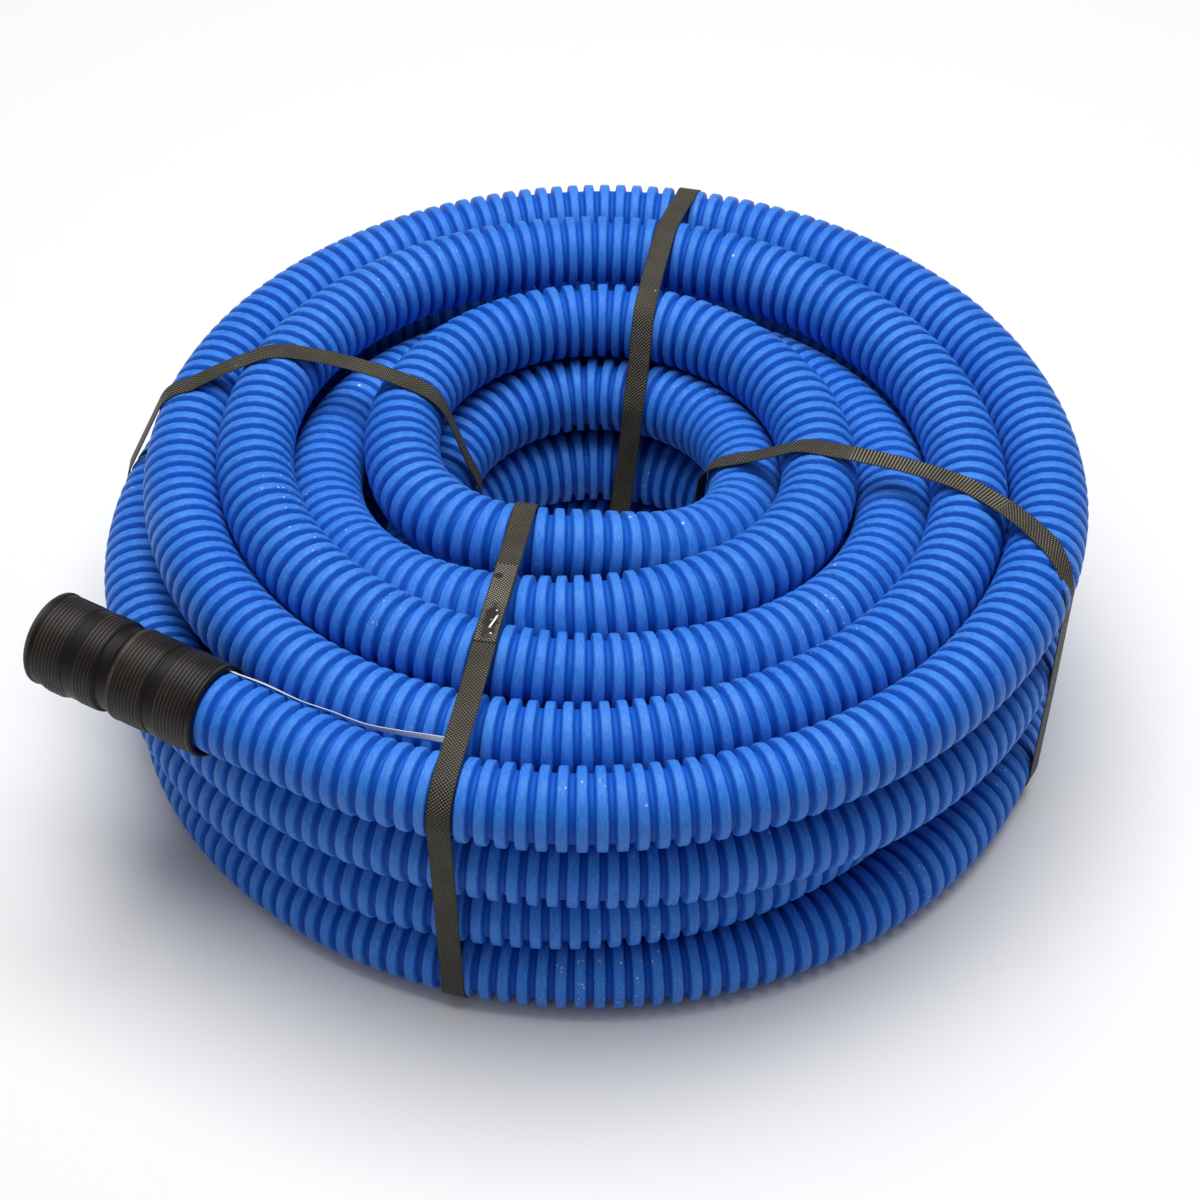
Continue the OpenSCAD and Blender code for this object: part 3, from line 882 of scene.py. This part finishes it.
def strapping(name, ridge_glint_colour):
    """A strap's finish, with its colour, roughness and relief still to be fed."""
    dark = Finish(name, Specular_IOR_Level=0.13)
    along_strap, across_strap = dark.uv()
    spot = dark.object_place()
    ridge = lambda slanted: (slanted * (math.pi / EMBOSS)).sine().size()
    diamonds = ridge(along_strap + across_strap) * ridge(along_strap - across_strap)
    crimps = (along_strap * (2 * math.pi / CRIMP)).sine().ramp(-0.4, 0.7)
    pressed = dark.value("pressed")
    relief = diamonds.ramp(0.35, 0.9) * (1 - pressed) + crimps * pressed
    edge = across_strap.size().ramp(PLAIN_FROM, PLAIN_TO)
    cloud, fine = dark.noise(spot, 45.0, 3.0), dark.noise(spot, 500.0, 2.0)
    # Ridges painted paler than the body as painted glints, patchy with the cloud.
    colour = dark.blend(STRAP_BODY, ridge_glint_colour, relief * (0.20 + 0.95 * cloud) * (1 - edge))
    colour = dark.blend(colour, STRAP_EDGE, edge * (0.35 + 0.5 * fine))
    # A few pale specks, painted as glints.
    colour = dark.blend(colour, STRAP_SPECK_GLINT, 0.6 * dark.specks(spot, 260.0, 0.02, 0.25))
    roughness = 0.34 + 0.18 * cloud + 0.10 * fine
    return dark, colour, roughness, relief * (1 - edge) + 0.15 * fine


def feed_strapping(dark, colour, roughness, height):
    """Links what strapping gives to its shader and returns the material."""
    dark.feed(Base_Color=colour, Roughness=roughness, Normal=dark.bump(height, 0.00040))
    return dark.material


embossed = feed_strapping(*strapping("dark_embossed_strap", STRAP_RIDGE_GLINT))
for piece in straps.values():
    piece.data.materials.append(embossed)
print("strap finish:", len(embossed.node_tree.nodes), "nodes")

# %% [markdown]
# ## The weld's finish
# Where the two ends were melted together the embossing is gone, the plastic is dark
# and glossy, and the tool has left a slanting scar, with a pale painted glint along it.
# Round it lie a few painted glints, and a small burnt notch sits further in. All of it is
# drawn by distances on the UV map, which is measured from the scar, on top of the strap's
# own finish, whose ridges on this layer carry a brighter painted glint.

# %% The weld
MELTED = (0.014, 0.012, 0.010)
# The pale colour along the scar is a painted glint.
SCAR_GLINT = (0.85, 0.85, 0.80)
MELT_HALF_LENGTH, MELT_HALF_WIDTH = 21, 6.2
NOTCH_ALONG, NOTCH_ACROSS = 44.0, 3.5
NOTCH_LENGTHWISE, NOTCH_CROSSWISE = 0.28, 0.30
SCAR_ASIDE = 2.0
SCAR_SLANT = math.radians(-12.5)
dark, colour, roughness, height = strapping("dark_welded_strap", WELDED_RIDGE_GLINT)
along_strap, across_strap = dark.uv()
spot = dark.object_place()
melt_place = dark.vector(along_strap * (1 / MELT_HALF_LENGTH), across_strap * (1 / MELT_HALF_WIDTH))
ragged = dark.length_of(melt_place) + 0.9 * dark.noise(spot, 260.0, 3.0)
notch = dark.length_of(dark.vector((along_strap + NOTCH_ALONG) * NOTCH_LENGTHWISE,
                                   (across_strap + NOTCH_ACROSS) * NOTCH_CROSSWISE))
melted = ((1 - ragged.ramp(1.05, 1.35)) + (1 - notch.ramp(0.7, 1.0))).up_to_one()
cos_slant, sin_slant = math.cos(SCAR_SLANT), math.sin(SCAR_SLANT)
beside = across_strap - SCAR_ASIDE
lengthwise = along_strap * cos_slant + beside * sin_slant
crosswise = beside * cos_slant - along_strap * sin_slant
# A pale slanting streak along the scar, painted as a glint.
scar_glint = (1 - lengthwise.size().ramp(5.0, 7.0)) * (1 - crosswise.size().ramp(0.35, 0.8))
glints = (scar_glint + dark.specks(spot, 330.0, 0.16, 0.26) * melted).up_to_one()
colour = dark.blend(dark.blend(colour, MELTED, 0.85 * melted), SCAR_GLINT, glints)
height = height * (1 - melted) + melted * dark.noise(spot, 190.0, 2.0) * 2.5
lap_piece.data.materials.append(
    feed_strapping(dark, colour, roughness - 0.18 * melted, height))
print("weld finish:", len(dark.tree.nodes), "nodes")

# %% [markdown]
# ## Floor and light
# A pale floor and soft light from two panels show the ribs without hard shadows. A
# large panel hangs above the coil, so the crests shine and the grooves keep their
# shade. A small weak one in front lifts the near side. The view is set to Standard,
# because the default view would wash out a blue that is as strong as this hose's.

# %% The floor
FLOOR_HALF = 6.0
FLOOR_GREY = (0.77, 0.77, 0.77, 1)
floor_mesh = bpy.data.meshes.new("floor")
corners = [(x * FLOOR_HALF, y * FLOOR_HALF, 0) for x, y in ((-1, -1), (1, -1), (1, 1), (-1, 1))]
floor_mesh.from_pydata(corners, [], [(0, 1, 2, 3)])
floor = bpy.data.objects.new("floor", floor_mesh)
bpy.context.scene.collection.objects.link(floor)
floor_paint = bpy.data.materials.new("pale_floor")
floor_paint.use_nodes = True
floor_shader = floor_paint.node_tree.nodes["Principled BSDF"]
floor_shader.inputs["Base Color"].default_value = FLOOR_GREY
floor_shader.inputs["Roughness"].default_value = 0.9
floor_mesh.materials.append(floor_paint)
print("floor:", 2 * FLOOR_HALF, "m square")

# %% The lights
SKY_STRENGTH = 0.20
world = bpy.data.worlds.new("studio")
bpy.context.scene.world = world
world.use_nodes = True
sky = world.node_tree.nodes["Background"]
sky.inputs["Color"].default_value = (1.0, 1.0, 1.0, 1)
sky.inputs["Strength"].default_value = SKY_STRENGTH
bpy.context.scene.view_settings.view_transform = "Standard"


def panel(name, place, size, watts):
    """A square light panel at place, which faces the coil's middle."""
    light = bpy.data.lights.new(name, "AREA")
    light.shape, light.size, light.energy = "SQUARE", size, watts
    lamp = bpy.data.objects.new(name, light)
    bpy.context.scene.collection.objects.link(lamp)
    lamp.location = place
    lamp.rotation_euler = Vector(AIM - np.array(place)).to_track_quat("-Z", "Y").to_euler()


panel("panel_top", (0.1, 0.3, 3.2), 2.8, 142)
panel("panel_front", (-0.9, -2.2, 2.6), 1.4, 6)
print("lights:", [light.name for light in bpy.data.lights])
